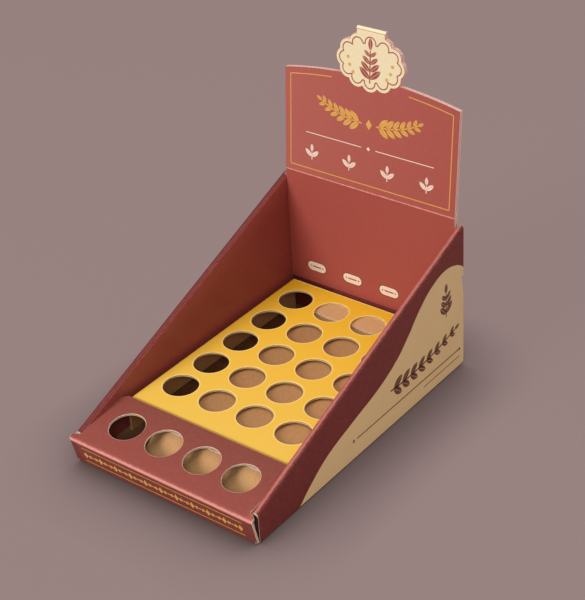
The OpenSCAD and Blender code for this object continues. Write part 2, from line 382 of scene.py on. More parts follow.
@dataclass(frozen=True)
class SideField:
    """Print on the outside of the tray's walls, with a paler field under a wave that climbs to the back."""

    above: Shade
    below: Shade
    inner_right: float
    inner_left: float
    front_y: float
    wave: Sequence[Point]
    soft: float = 0.12 * MM

    def _wave_height(self, sheet: NodeSheet, along: SocketValue) -> NodeSocket:
        """Draws the wave.

        Args:
            sheet: The material's nodes.
            along: Place along the side, from front to back.

        Returns:
            The height of the wave there.
        """
        first, last = self.wave[0][0], self.wave[-1][0]
        top = max(height for _, height in self.wave)
        share = sheet.add("MapRange", {"Value": along, "From Min": first, "From Max": last}).outputs[0]
        curve = sheet.add("FloatCurve", {"Value": share})
        points = curve.mapping.curves[0].points
        for y, height in self.wave[1:-1]:
            points.new((y - first) / (last - first), height / top)
        points[0].location = (0.0, self.wave[0][1] / top)
        points[-1].location = (1.0, self.wave[-1][1] / top)
        curve.mapping.update()
        return sheet.math("MULTIPLY", curve.outputs[0], top)

    def _past(self, sheet: NodeSheet, value: SocketValue, edge: float) -> NodeSocket:
        """Returns 1 where a value lies past an edge and 0 before it."""
        return sheet.step(value, edge - self.soft, edge + self.soft)

    def paint(self, sheet: NodeSheet, place: Node, colour: SocketValue) -> NodeSocket:
        """Prints the two colours over the sheet's own.

        Args:
            sheet: The material's nodes.
            place: A Separate XYZ node on the object's coordinates.
            colour: The colour of the rest of the sheet.

        Returns:
            The new colour.
        """
        x, y, z = (place.outputs[axis] for axis in Axis)
        right = self._past(sheet, x, self.inner_right)
        left = self._past(sheet, sheet.math("MULTIPLY", x, -1.0), self.inner_left)
        behind = self._past(sheet, y, self.front_y)
        outside = sheet.math("MULTIPLY", sheet.math("MAXIMUM", right, left), behind)
        room = sheet.math("SUBTRACT", self._wave_height(sheet, y), z)
        started = self._past(sheet, y, self.wave[0][0])
        field = sheet.math("MULTIPLY", self._past(sheet, room, 0.0), started)
        colour = sheet.mix(outside, colour, self.above.value)
        return sheet.mix(sheet.math("MULTIPLY", field, outside), colour, self.below.value)


@dataclass(frozen=True)
class PrintAndLightTone:
    """A second tone inside a box, used both for print and for painted light and shade, in a share that
    changes evenly along one axis.
    """

    colour: Shade
    low: Point3
    high: Point3
    axis: Axis
    shares: Point
    soft: float = 0.1 * MM

    def paint(self, sheet: NodeSheet, place: Node, colour: SocketValue) -> NodeSocket:
        """Lays the tone over the sheet's own colour.

        Args:
            sheet: The material's nodes.
            place: A Separate XYZ node on the object's coordinates.
            colour: The colour of the rest of the sheet.

        Returns:
            The new colour.
        """
        share = sheet.add("MapRange", {
            "Value": place.outputs[self.axis],
            "From Min": self.low[self.axis],
            "From Max": self.high[self.axis],
            "To Min": self.shares[0],
            "To Max": self.shares[1],
        }).outputs[0]
        for axis in Axis:
            value = place.outputs[axis]
            above = sheet.step(value, self.low[axis] - self.soft, self.low[axis])
            past = sheet.step(value, self.high[axis], self.high[axis] + self.soft)
            share = sheet.math("MULTIPLY", share, sheet.math("SUBTRACT", above, past))
        return sheet.mix(share, colour, self.colour.value)


@dataclass(frozen=True)
class HoleRims:
    """Pale, crushed paper round the holes of a grid, by its first hole and the number of holes each way."""

    first: Point
    columns: int
    rows: int
    pitch: float
    radius: float
    width: float
    full_share: float = 0.45

    def _offset(self, sheet: NodeSheet, value: SocketValue, first: float, count: int) -> NodeSocket:
        """Measures how far a place lies from the nearest line of holes.

        Args:
            sheet: The material's nodes.
            value: The place.
            first: Place of the first line.
            count: Number of lines.

        Returns:
            The distance with its sign.
        """
        apart = sheet.math("SUBTRACT", value, first)
        number = sheet.math("ROUND", sheet.math("DIVIDE", apart, self.pitch))
        number = sheet.math("MINIMUM", sheet.math("MAXIMUM", number, 0.0), count - 1.0)
        return sheet.math("SUBTRACT", apart, sheet.math("MULTIPLY", number, self.pitch))

    def mask(self, sheet: NodeSheet, place: Node) -> NodeSocket:
        """Draws the rims.

        Args:
            sheet: The material's nodes.
            place: A Separate XYZ node on the object's coordinates.

        Returns:
            1 at the edge of a hole, falling to 0 at the rim's width.
        """
        across = self._offset(sheet, place.outputs["X"], self.first[0], self.columns)
        along = self._offset(sheet, place.outputs["Y"], self.first[1], self.rows)
        offset = sheet.add("CombineXYZ", {0: across, 1: along}).outputs[0]
        distance = sheet.vector("LENGTH", offset).outputs["Value"]
        faded = sheet.step(distance, self.radius + self.width * self.full_share, self.radius + self.width)
        return sheet.math("SUBTRACT", 1.0, faded)


@dataclass(frozen=True)
class BoardFinish:
    """A liner, printed or plain, with its fibres, the wave of the flutes and rubbed folds that also carry
    painted highlights.
    """

    name: str
    colour: Shade
    second: Shade
    worn_and_lit: Shade
    roughness: float = 0.8
    coat: float = 0.0
    cloud: float = 0.4
    fibre: float = 0.09
    wave_depth: float = 0.8
    specular: float = 0.25
    coat_roughness: float = 0.3
    rough_spread: float = 0.07
    rim_wear: float = 0.85
    fibre_relief: float = 0.25
    # Strength and distance
    bump: Point = (0.5, 0.03 * MM)

    @staticmethod
    def _wear_and_highlight(
        sheet: NodeSheet, effects: PaperEffects, place: SocketValue, axes: Node, folds: Sequence[Fold]
    ) -> SocketValue:
        """Gathers the rubbed ink and the painted highlights of the folds.

        Args:
            sheet: The material's nodes.
            effects: The shared groups.
            place: The object's coordinates.
            axes: A Separate XYZ node on them.
            folds: Folds along which the ink is rubbed, with a painted highlight on some.

        Returns:
            The share of rubbed ink and painted highlight.
        """
        apart = sheet.math("ABSOLUTE", axes.outputs["X"])
        half = sheet.add("CombineXYZ", {0: apart, 1: axes.outputs["Y"], 2: axes.outputs["Z"]}).outputs[0]
        wear_and_highlight: SocketValue = 0.0
        for fold in folds:
            mark = sheet.effect(
                effects.wear_and_highlight, Vector=half if fold.both_sides else place, Point=fold.point,
                Direction=fold.direction, Reach=fold.reach, Ragged=fold.ragged,
            )
            wear_and_highlight = sheet.math("MAXIMUM", wear_and_highlight, sheet.math("MULTIPLY", mark.outputs["Mask"], fold.strength))
        return wear_and_highlight

    def material(
        self,
        effects: PaperEffects,
        folds: Sequence[Fold] = (),
        fields: Sequence[Union[SideField, PrintAndLightTone]] = (),
        rims: Optional[HoleRims] = None,
    ) -> Material:
        """Builds the material.

        Args:
            effects: The shared groups.
            folds: Folds along which the ink is rubbed, with a painted highlight on some.
            fields: Further colours, print and painted light and shade, one over the other.
            rims: Pale rims round holes.

        Returns:
            The new material.
        """
        material, sheet, shader = new_material(self.name)
        place = sheet.place()
        axes = sheet.add("SeparateXYZ", {0: place})
        paper = sheet.effect(effects.fibre, Vector=place).outputs
        colour: SocketValue = self.colour.value
        for field in fields:
            colour = field.paint(sheet, axes, colour)
        colour = sheet.tint(paper["Cloud"], self.cloud, colour, self.second.value)
        colour = sheet.tint(paper["Fibre"], self.fibre, colour, self.worn_and_lit.value)
        if folds:
            colour = sheet.mix(self._wear_and_highlight(sheet, effects, place, axes, folds), colour, self.worn_and_lit.value)
        if rims:
            colour = sheet.tint(rims.mask(sheet, axes), self.rim_wear, colour, self.worn_and_lit.value)
        across = sheet.flute().outputs["X"]
        wave = sheet.effect(effects.washboard, Across=across, Pitch=BOARD.flute_pitch).outputs["Wave"]
        fibres = sheet.math("MULTIPLY", paper["Fibre"], self.fibre_relief)
        relief = sheet.math("MULTIPLY_ADD", wave, self.wave_depth, fibres)
        low, high = self.roughness - self.rough_spread, self.roughness + self.rough_spread
        sheet.fill(shader, {
            "Base Color": colour,
            "Roughness": sheet.span(paper["Cloud"], low, high),
            "Normal": sheet.bump(relief, *self.bump),
            "Specular IOR Level": self.specular,
            "Coat Weight": self.coat,
            "Coat Roughness": self.coat_roughness,
        })
        return material


@dataclass(frozen=True)
class CutFinish:
    """The cut edge: two liners with the waved paper between them, by shares of the board's thickness."""

    name: str
    paper: Shade
    gap: Shade
    wave_room: Point = (0.2, 0.8)
    medium_edge: Point = (0.08, 0.16)
    liner_edge: Point = (0.32, 0.4)
    fibre_tone: Point = (0.8, 1.0)
    roughness: Point = (0.75, 0.95)
    bump: Point = (0.6, 0.2 * MM)

    def material(self, effects: PaperEffects) -> Material:
        """Builds the material from the flute map, whose second coordinate runs through the thickness.

        Args:
            effects: The shared groups.

        Returns:
            The new material.
        """
        material, sheet, shader = new_material(self.name)
        flute = sheet.flute().outputs
        waves = sheet.effect(effects.washboard, Across=flute["X"], Pitch=BOARD.flute_pitch)
        middle = sheet.span(waves.outputs["Wave"], *self.wave_room)
        apart = sheet.math("ABSOLUTE", sheet.math("SUBTRACT", flute["Y"], middle))
        medium = sheet.math("SUBTRACT", 1.0, sheet.step(apart, *self.medium_edge))
        rim = sheet.math("ABSOLUTE", sheet.math("SUBTRACT", flute["Y"], 0.5))
        solid = sheet.math("MAXIMUM", medium, sheet.step(rim, *self.liner_edge))
        fibre = sheet.effect(effects.fibre, Vector=sheet.place()).outputs["Fibre"]
        tone = sheet.math("MULTIPLY", solid, sheet.span(fibre, *self.fibre_tone))
        sheet.fill(shader, {
            "Base Color": sheet.mix(tone, self.gap.value, self.paper.value),
            "Roughness": sheet.span(fibre, *self.roughness),
            "Normal": sheet.bump(solid, *self.bump),
        })
        return material


@dataclass(frozen=True)
class InkFinish:
    """One printed ink, with the paper's fibres in it."""

    name: str
    colour: Shade
    thin: Shade
    roughness: float = 0.5
    rough_spread: float = 0.08
    fibre: float = 0.22
    bump: Point = (0.2, 0.02 * MM)

    def material(self, effects: PaperEffects) -> Material:
        """Builds the material.

        Args:
            effects: The shared groups.

        Returns:
            The new material.
        """
        material, sheet, shader = new_material(self.name)
        paper = sheet.effect(effects.fibre, Vector=sheet.place()).outputs
        low, high = self.roughness - self.rough_spread, self.roughness + self.rough_spread
        sheet.fill(shader, {
            "Base Color": sheet.tint(paper["Fibre"], self.fibre, self.colour.value, self.thin.value),
            "Roughness": sheet.span(paper["Cloud"], low, high),
            "Normal": sheet.bump(paper["Fibre"], *self.bump),
        })
        return material


TRAY_PRINT = BoardFinish(
    "tray_print", Shade.MAROON, Shade.BROWN, Shade.WORN_AND_LIT_MAROON,
    roughness=0.46, coat=0.06, cloud=0.1, fibre=0.05, wave_depth=0.5,
)
CARD_PRINT = replace(TRAY_PRINT, name="card_print", cloud=0.08)
# Painted shade on the lining's foot, in the gap behind the platform
SHADED_FOOT_PRINT = BoardFinish(
    "shaded_foot_print", Shade.SIDE_MAROON, Shade.BROWN, Shade.MAROON,
    roughness=0.6, cloud=0.1, fibre=0.04, wave_depth=0.5,
)
PLATFORM_PRINT = BoardFinish(
    "platform_print", Shade.YELLOW, Shade.DEEP_YELLOW, Shade.WORN_AND_LIT_YELLOW,
    roughness=0.48, coat=0.05, cloud=0.3, fibre=0.06, wave_depth=0.6,
)
KRAFT_LINER = BoardFinish("kraft_liner", Shade.KRAFT, Shade.DARK_KRAFT, Shade.CUT_PAPER)
SUPPORT_LINER = replace(KRAFT_LINER, name="support_liner")
FLAP_LINER = BoardFinish(
    "flap_liner", Shade.PALE_KRAFT, Shade.KRAFT, Shade.CUT_PAPER, roughness=0.75, cloud=0.3
)
# The tray's plain side is dark as painted shade, where it shows through the holes
TRAY_LINER = BoardFinish(
    "tray_liner", Shade.SHADED_KRAFT, Shade.BROWN, Shade.KRAFT, roughness=0.85, fibre=0.14
)
CUT_EDGE = CutFinish("cut_edge", Shade.CUT_PAPER, Shade.FLUTE_GAP)
# Painted shade for the cut front ends of the side walls
SHADED_EDGE = CutFinish("shaded_edge", Shade.BROWN, Shade.DEEP_MAROON)
CARD_EDGE = CutFinish("card_edge", Shade.ROSE_PAPER, Shade.ROSE_GAP)
PLATFORM_EDGE = CutFinish("platform_edge", Shade.WORN_AND_LIT_YELLOW, Shade.FLUTE_GAP)
GOLD_INK = InkFinish("gold_ink", Shade.GOLD, Shade.MAROON, roughness=0.42)
CREAM_INK = InkFinish("cream_ink", Shade.PALE_CREAM, Shade.CREAM)
LABEL_INK = InkFinish("label_ink", Shade.LABEL_WHITE, Shade.CREAM)
MAROON_INK = InkFinish("maroon_ink", Shade.MAROON, Shade.BROWN)
BROWN_INK = InkFinish("brown_ink", Shade.BROWN, Shade.MAROON, roughness=0.55)


class Paints:
    """Materials that several pieces share, made when first asked for."""

    def __init__(self, effects: PaperEffects) -> None:
        """Keeps the shared groups."""
        self.effects = effects
        self._made: dict[str, Material] = {}

    def get(self, finish: Union[BoardFinish, CutFinish, InkFinish]) -> Material:
        """Returns the finish's one material."""
        if finish.name not in self._made:
            self._made[finish.name] = finish.material(self.effects)
        return self._made[finish.name]


def add_object(name: str, data: ID) -> Object:
    """Puts a mesh, a light or a camera into the scene.

    Args:
        name: Name of the object.
        data: Its data.

    Returns:
        The new object.
    """
    item = bpy.data.objects.new(name, data)
    bpy.context.scene.collection.objects.link(item)
    return item


def add_mesh(name: str, bm: BMesh, materials: Sequence[Material]) -> Object:
    """Turns a finished shape into an object and frees the shape.

    Args:
        name: Name of the object and its mesh.
        bm: The shape, with its place in it.
        materials: Its materials in the order of their slots.

    Returns:
        The new object.
    """
    mesh = bpy.data.meshes.new(name)
    bm.to_mesh(mesh)
    bm.free()
    for material in materials:
        mesh.materials.append(material)
    return add_object(name, mesh)


def add_piece(name: str, bm: BMesh, materials: Sequence[Material]) -> Object:
    """Puts a finished shape into the scene as a piece of the display.

    Args:
        name: Name of the piece.
        bm: The shape, with its place in it.
        materials: Its materials in the order of their slots.

    Returns:
        The new object, which rides on the display's one body.
    """
    piece = add_mesh(name, bm, materials)
    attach(piece, BODY)
    LOG.info("%s: %d faces", name, len(piece.data.polygons))
    return piece


@dataclass
class FoldedSheet:
    """One folded sheet of board, as a merged copy of its CAD node."""

    paints: Paints
    node: str
    name: str
    slot: str
    looks: Point3
    liner: BoardFinish = KRAFT_LINER
    edge: CutFinish = CUT_EDGE
    rim_slot: int = Face.CUT
    smooth_turn: float = math.radians(40)
    flat_turn: float = math.radians(1)

    def __post_init__(self) -> None:
        """Takes the sheet's box from the frame."""
        self.low, self.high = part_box(self.node)

    def print_material(self) -> Material:
        """Returns the material of the printed side."""
        raise NotImplementedError

    def liner_material(self) -> Material:
        """Returns the material of the plain side."""
        return self.paints.get(self.liner)

    def materials(self) -> list[Material]:
        """Returns the sheet's materials in the order of their slots."""
        return [self.print_material(), self.liner_material(), self.paints.get(self.edge)]

    def across(self, place: Vector, normal: Vector) -> float:
        """Returns how far a point lies across the flutes, which run across the sheet and down its legs."""
        return place.y

    def kind(self, place: Vector, normal: Vector) -> Face:
        """Returns the kind of a face of the printed side."""
        return Face.PRINT

    def cut_kind(self, place: Vector) -> Face:
        """Returns the kind of a face of the cut edges."""
        return Face.CUT

    def split(self, bm: BMesh) -> None:
        """Cuts faces on which the print ends."""

    def _patches(self, bm: BMesh) -> list[list[BMFace]]:
        """Groups the faces that meet smoothly.

        Args:
            bm: The sheet.

        Returns:
            The groups, the largest first.
        """
        left = set(bm.faces)
        patches = []
        while left:
            stack = [left.pop()]
            patch = []
            while stack:
                face = stack.pop()
                patch.append(face)
                for edge in face.edges:
                    if edge.calc_face_angle(math.pi) > self.smooth_turn:
                        continue
                    near = [other for other in edge.link_faces if other in left]
                    left.difference_update(near)
                    stack.extend(near)
            patches.append(patch)
        return sorted(patches, key=lambda patch: -sum(face.calc_area() for face in patch))

    def _sort_faces(self, bm: BMesh) -> None:
        """Gives every face its kind and its place on the flute map.

        Args:
            bm: The sheet.
        """
        flute = bm.loops.layers.uv.new(FLUTE_MAP)
        looks = Vector(self.looks)
        printed_side, plain_side = sorted(
            self._patches(bm)[:2],
            key=lambda patch: -sum(face.calc_area() * face.normal.dot(looks) for face in patch),
        )
        for face in bm.faces:
            face.material_index = self.cut_kind(face.calc_center_median())
            face.smooth = True
        for face in printed_side:
            face.material_index = self.kind(face.calc_center_median(), face.normal)
        for face in plain_side:
            face.material_index = Face.PLAIN
        outside = set(printed_side)
        panels = outside.union(plain_side)
        for face in bm.faces:
            board = face
            if face not in panels:
                beside = [other for edge in face.edges for other in edge.link_faces if other in panels]
                board = beside[0] if beside else face
            for loop in face.loops:
                outer = any(other in outside for other in loop.vert.link_faces)
                loop[flute].uv = (self.across(loop.vert.co, board.normal), 0.0 if outer else 1.0)
        for edge in bm.edges:
            edge.smooth = edge.calc_face_angle(math.pi) <= self.smooth_turn

    def build(self) -> None:
        """Copies the node, sorts its faces, softens its cut edges and lets it stand for the node."""
        bm = bmesh.new()
        bm.from_mesh(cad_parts[self.node].data)
        bmesh.ops.remove_doubles(bm, verts=bm.verts, dist=BOARD.weld)
        bmesh.ops.dissolve_degenerate(bm, dist=BOARD.weld, edges=bm.edges)
        self.split(bm)
        self._sort_faces(bm)
        bmesh.ops.dissolve_limit(
            bm, angle_limit=self.flat_turn, verts=bm.verts, edges=bm.edges,
            delimit={"MATERIAL", "SHARP", "UV"},
        )
        piece = add_piece(self.name, bm, self.materials())
        configure(
            piece.modifiers.new("soft_rim", "BEVEL"), width=BOARD.rim, segments=2, profile=0.5,
            limit_method="ANGLE", angle_limit=self.smooth_turn, material=self.rim_slot,
            use_clamp_overlap=False,
        )
        configure(piece.modifiers.new("even_shading", "WEIGHTED_NORMAL"), keep_sharp=True)
        configure(
            piece.modifiers.new("even_facets", "TRIANGULATE"), ngon_method="BEAUTY", min_vertices=5,
            keep_custom_normals=True,
        )
        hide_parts(self.node)

    def dress(self) -> None:
        """Builds the sheet and its print."""
        self.build()


@dataclass(frozen=True)
class PrintPanel:
    """A flat place for print: its origin and its right and up directions, in metres."""

    origin: Point3
    right: Point3
    up: Point3

    def matrix(self) -> Matrix:
        """Returns the transform from the panel's plane to the frame."""
        right, up = Vector(self.right), Vector(self.up)
        turn = Matrix((right, up, right.cross(up))).transposed().to_4x4()
        return Matrix.Translation(self.origin) @ turn


class InkRun:
    """Flat motifs in one ink on one panel, gathered into one thin closed mesh."""

    THICKNESS = 0.03 * MM
    SUNK = 0.01 * MM
    ROUND = 28
    LEAF_ROUND = 64
    VEIN = 0.09 * MM
    # Round ends of a bar, as a share of its width and in steps
    END_ROUND = 0.49
    END_STEPS = 5
    # Length of a step along an arc, with the fewest and the most steps
    ARC_STEP = 1.2 * MM
    ARC_STEPS = (6, 90)
    # Stems: width by the width of a leaf, end and first pair by the step, and how the leaves shrink
    STEM = 0.22
    STEM_END = 0.4
    FIRST_PAIR = 0.55
    SHRINK = 0.14
    TIP_LEAF = 0.8
    CURVED_STEM = 0.24
    FIRST_CURVED = 0.4
    CURVED_SHRINK = 0.45

    def __init__(self, name: str, panel: PrintPanel, finish: InkFinish, layer: int = 0) -> None:
        """Starts an empty run.

        Args:
            name: Name of the piece.
            panel: Where it is printed.
            finish: Its ink.
            layer: Number of inks under it.
        """
        self.name = name
        self.panel = panel
        self.finish = finish
        self.layer = layer
        self.bm = bmesh.new()

    @staticmethod
    def spot(at: Point, turn: float = 0.0) -> Matrix:
        """Returns the transform to a point of the panel, turned about it."""
        return Matrix.Translation((at[0], at[1], 0.0)) @ Matrix.Rotation(turn, 4, "Z")

    def disc(self, at: Point, width: float, height: Optional[float] = None, corners: int = ROUND) -> None:
        """Adds a disc, or with a height an oval."""
        place = self.spot(at) @ Matrix.Diagonal((width / 2, (height or width) / 2, 1.0, 1.0))
        bmesh.ops.create_circle(self.bm, cap_ends=True, segments=corners, radius=1.0, matrix=place)

    def diamond(self, at: Point, width: float, height: Optional[float] = None) -> None:
        """Adds a diamond about its middle."""
        self.disc(at, width, height, corners=4)

    def bar(self, at: Point, length: float, width: float, turn: float = 0.0) -> None:
        """Adds a bar with round ends.

        Args:
            at: Its middle.
            length: Its length.
            width: Its width.
            turn: Angle that it lies at.
        """
        place = self.spot(at, turn) @ Matrix.Diagonal((length, width, 1.0, 1.0))
        made = bmesh.ops.create_grid(self.bm, x_segments=1, y_segments=1, size=0.5, matrix=place)
        bmesh.ops.bevel(
            self.bm, geom=made["verts"], offset=width * self.END_ROUND, segments=self.END_STEPS, profile=0.5,
            affect="VERTICES", material=-1,
        )

    def leaf(self, at: Point, length: float, width: float, turn: float) -> None:
        """Adds a pointed leaf in two halves along a bare vein.

        Args:
            at: Its foot.
            length: Its length.
            width: Its width.
            turn: Angle that it grows at.
        """
        half = width / 2
        radius = (length * length / 4 + half * half) / width
        for side in (1, -1):
            made = bmesh.ops.create_circle(self.bm, cap_ends=True, segments=self.LEAF_ROUND, radius=radius)
            faces = {face for vert in made["verts"] for face in vert.link_faces}
            edges = {edge for vert in made["verts"] for edge in vert.link_edges}
            cut = bmesh.ops.bisect_plane(
                self.bm, geom=[*made["verts"], *edges, *faces], dist=TINY,
                plane_co=(0.0, radius - half + self.VEIN, 0.0), plane_no=BACK, clear_inner=True,
            )
            kept = [item for item in cut["geom"] if isinstance(item, BMVert) and item.is_valid]
            place = self.spot(at, turn) @ Matrix.Diagonal((1.0, side, 1.0, 1.0))
            place = place @ Matrix.Translation((length / 2, half - radius, 0.0))
            bmesh.ops.transform(self.bm, matrix=place, verts=kept)

    def arc(self, centre: Point, radius: float, width: float, start: float, sweep: float) -> None:
        """Adds a curved line.

        Args:
            centre: Centre of its curve.
            radius: Radius of its middle.
            width: Its width.
            start: Angle of its start about the centre.
            sweep: Angle that it runs through.
        """
        ends = [
            self.bm.verts.new(self.spot(centre, start) @ Vector((radius + side * width / 2, 0.0, 0.0)))
            for side in (-1, 1)
        ]
        edge = self.bm.edges.new(ends)
        fewest, most = self.ARC_STEPS
        steps = min(max(fewest, int(abs(sweep) * radius / self.ARC_STEP)), most)
        bmesh.ops.spin(
            self.bm, geom=[*ends, edge], cent=(centre[0], centre[1], 0.0), axis=UP, angle=sweep, steps=steps
        )

    def field(self, outline: Sequence[Point], line: Optional[float] = None) -> None:
        """Adds a filled outline, or only a line along the inside of it.

        Args:
            outline: Points of the outline.
            line: Width of the line, if the outline isn't filled.
        """
        face = self.bm.faces.new([self.bm.verts.new((x, y, 0.0)) for x, y in outline])
        face.normal_update()
        if line:
            bmesh.ops.inset_region(
                self.bm, faces=[face], thickness=line, use_boundary=True, use_even_offset=True
            )
            bmesh.ops.delete(self.bm, geom=[face], context="FACES_ONLY")

    def sprig(self, at: Point, turn: float, pairs: int, step: float, leaf: Point, splay: float) -> None:
        """Adds a straight stem with pairs of leaves and one leaf at its tip.

        Args:
            at: Foot of the stem.
            turn: Angle that the stem grows at.
            pairs: Pairs of leaves.
            step: Distance from pair to pair.
            leaf: Length and width of the lowest leaves.
            splay: Angle between a leaf and the stem.
        """
        heading = Vector((math.cos(turn), math.sin(turn)))
        length = step * (pairs + self.STEM_END)
        middle = Vector(at) + heading * length / 2
        self.bar((middle.x, middle.y), length, leaf[1] * self.STEM, turn)
        for pair in range(pairs):
            foot = Vector(at) + heading * step * (pair + self.FIRST_PAIR)
            shrink = 1 - self.SHRINK * pair
            for side in (-1, 1):
                self.leaf((foot.x, foot.y), leaf[0] * shrink, leaf[1] * shrink, turn + side * splay)
        tip = Vector(at) + heading * length
        self.leaf((tip.x, tip.y), leaf[0] * self.TIP_LEAF, leaf[1] * self.TIP_LEAF, turn)

    def garland(
        self, centre: Point, radius: float, start: float, sweep: float, pairs: int, leaf: Point, splay: float
    ) -> None:
        """Adds a curved stem with pairs of leaves that shrink towards its tip.

        Args:
            centre: Centre of the stem's curve.
            radius: Radius of the stem's curve.
            start: Angle of its foot about the centre.
            sweep: Angle that it runs through.
            pairs: Pairs of leaves.
            leaf: Length and width of the first leaves.
            splay: Angle between a leaf and the stem.
        """
        self.arc(centre, radius, leaf[1] * self.CURVED_STEM, start, sweep)
        ahead = math.copysign(math.pi / 2, sweep)
        for pair in range(pairs + 1):
            angle = start + sweep * min(1.0, (pair + self.FIRST_CURVED) / pairs)
            foot = (centre[0] + radius * math.cos(angle), centre[1] + radius * math.sin(angle))
            shrink = 1 - self.CURVED_SHRINK * pair / pairs
            sides = (0,) if pair == pairs else (-1, 1)
            for side in sides:
                self.leaf(foot, leaf[0] * shrink, leaf[1] * shrink, angle + ahead + side * splay)

    def lay(self, paints: Paints) -> None:
        """Thickens the motifs, lays them on their panel and makes them a piece.

        Args:
            paints: The materials.
        """
        for face in self.bm.faces:
            face.normal_update()
            if face.normal.z < 0:
                face.normal_flip()
        bmesh.ops.solidify(self.bm, geom=self.bm.faces[:], thickness=self.THICKNESS)
        lowest = min(vert.co.z for vert in self.bm.verts)
        lift = self.layer * (self.THICKNESS - self.SUNK) - self.SUNK - lowest
        bmesh.ops.recalc_face_normals(self.bm, faces=self.bm.faces[:])
        place = self.panel.matrix() @ Matrix.Translation((0.0, 0.0, lift))
        bmesh.ops.transform(self.bm, matrix=place, verts=self.bm.verts[:])
        add_piece(self.name, self.bm, [paints.get(self.finish)])


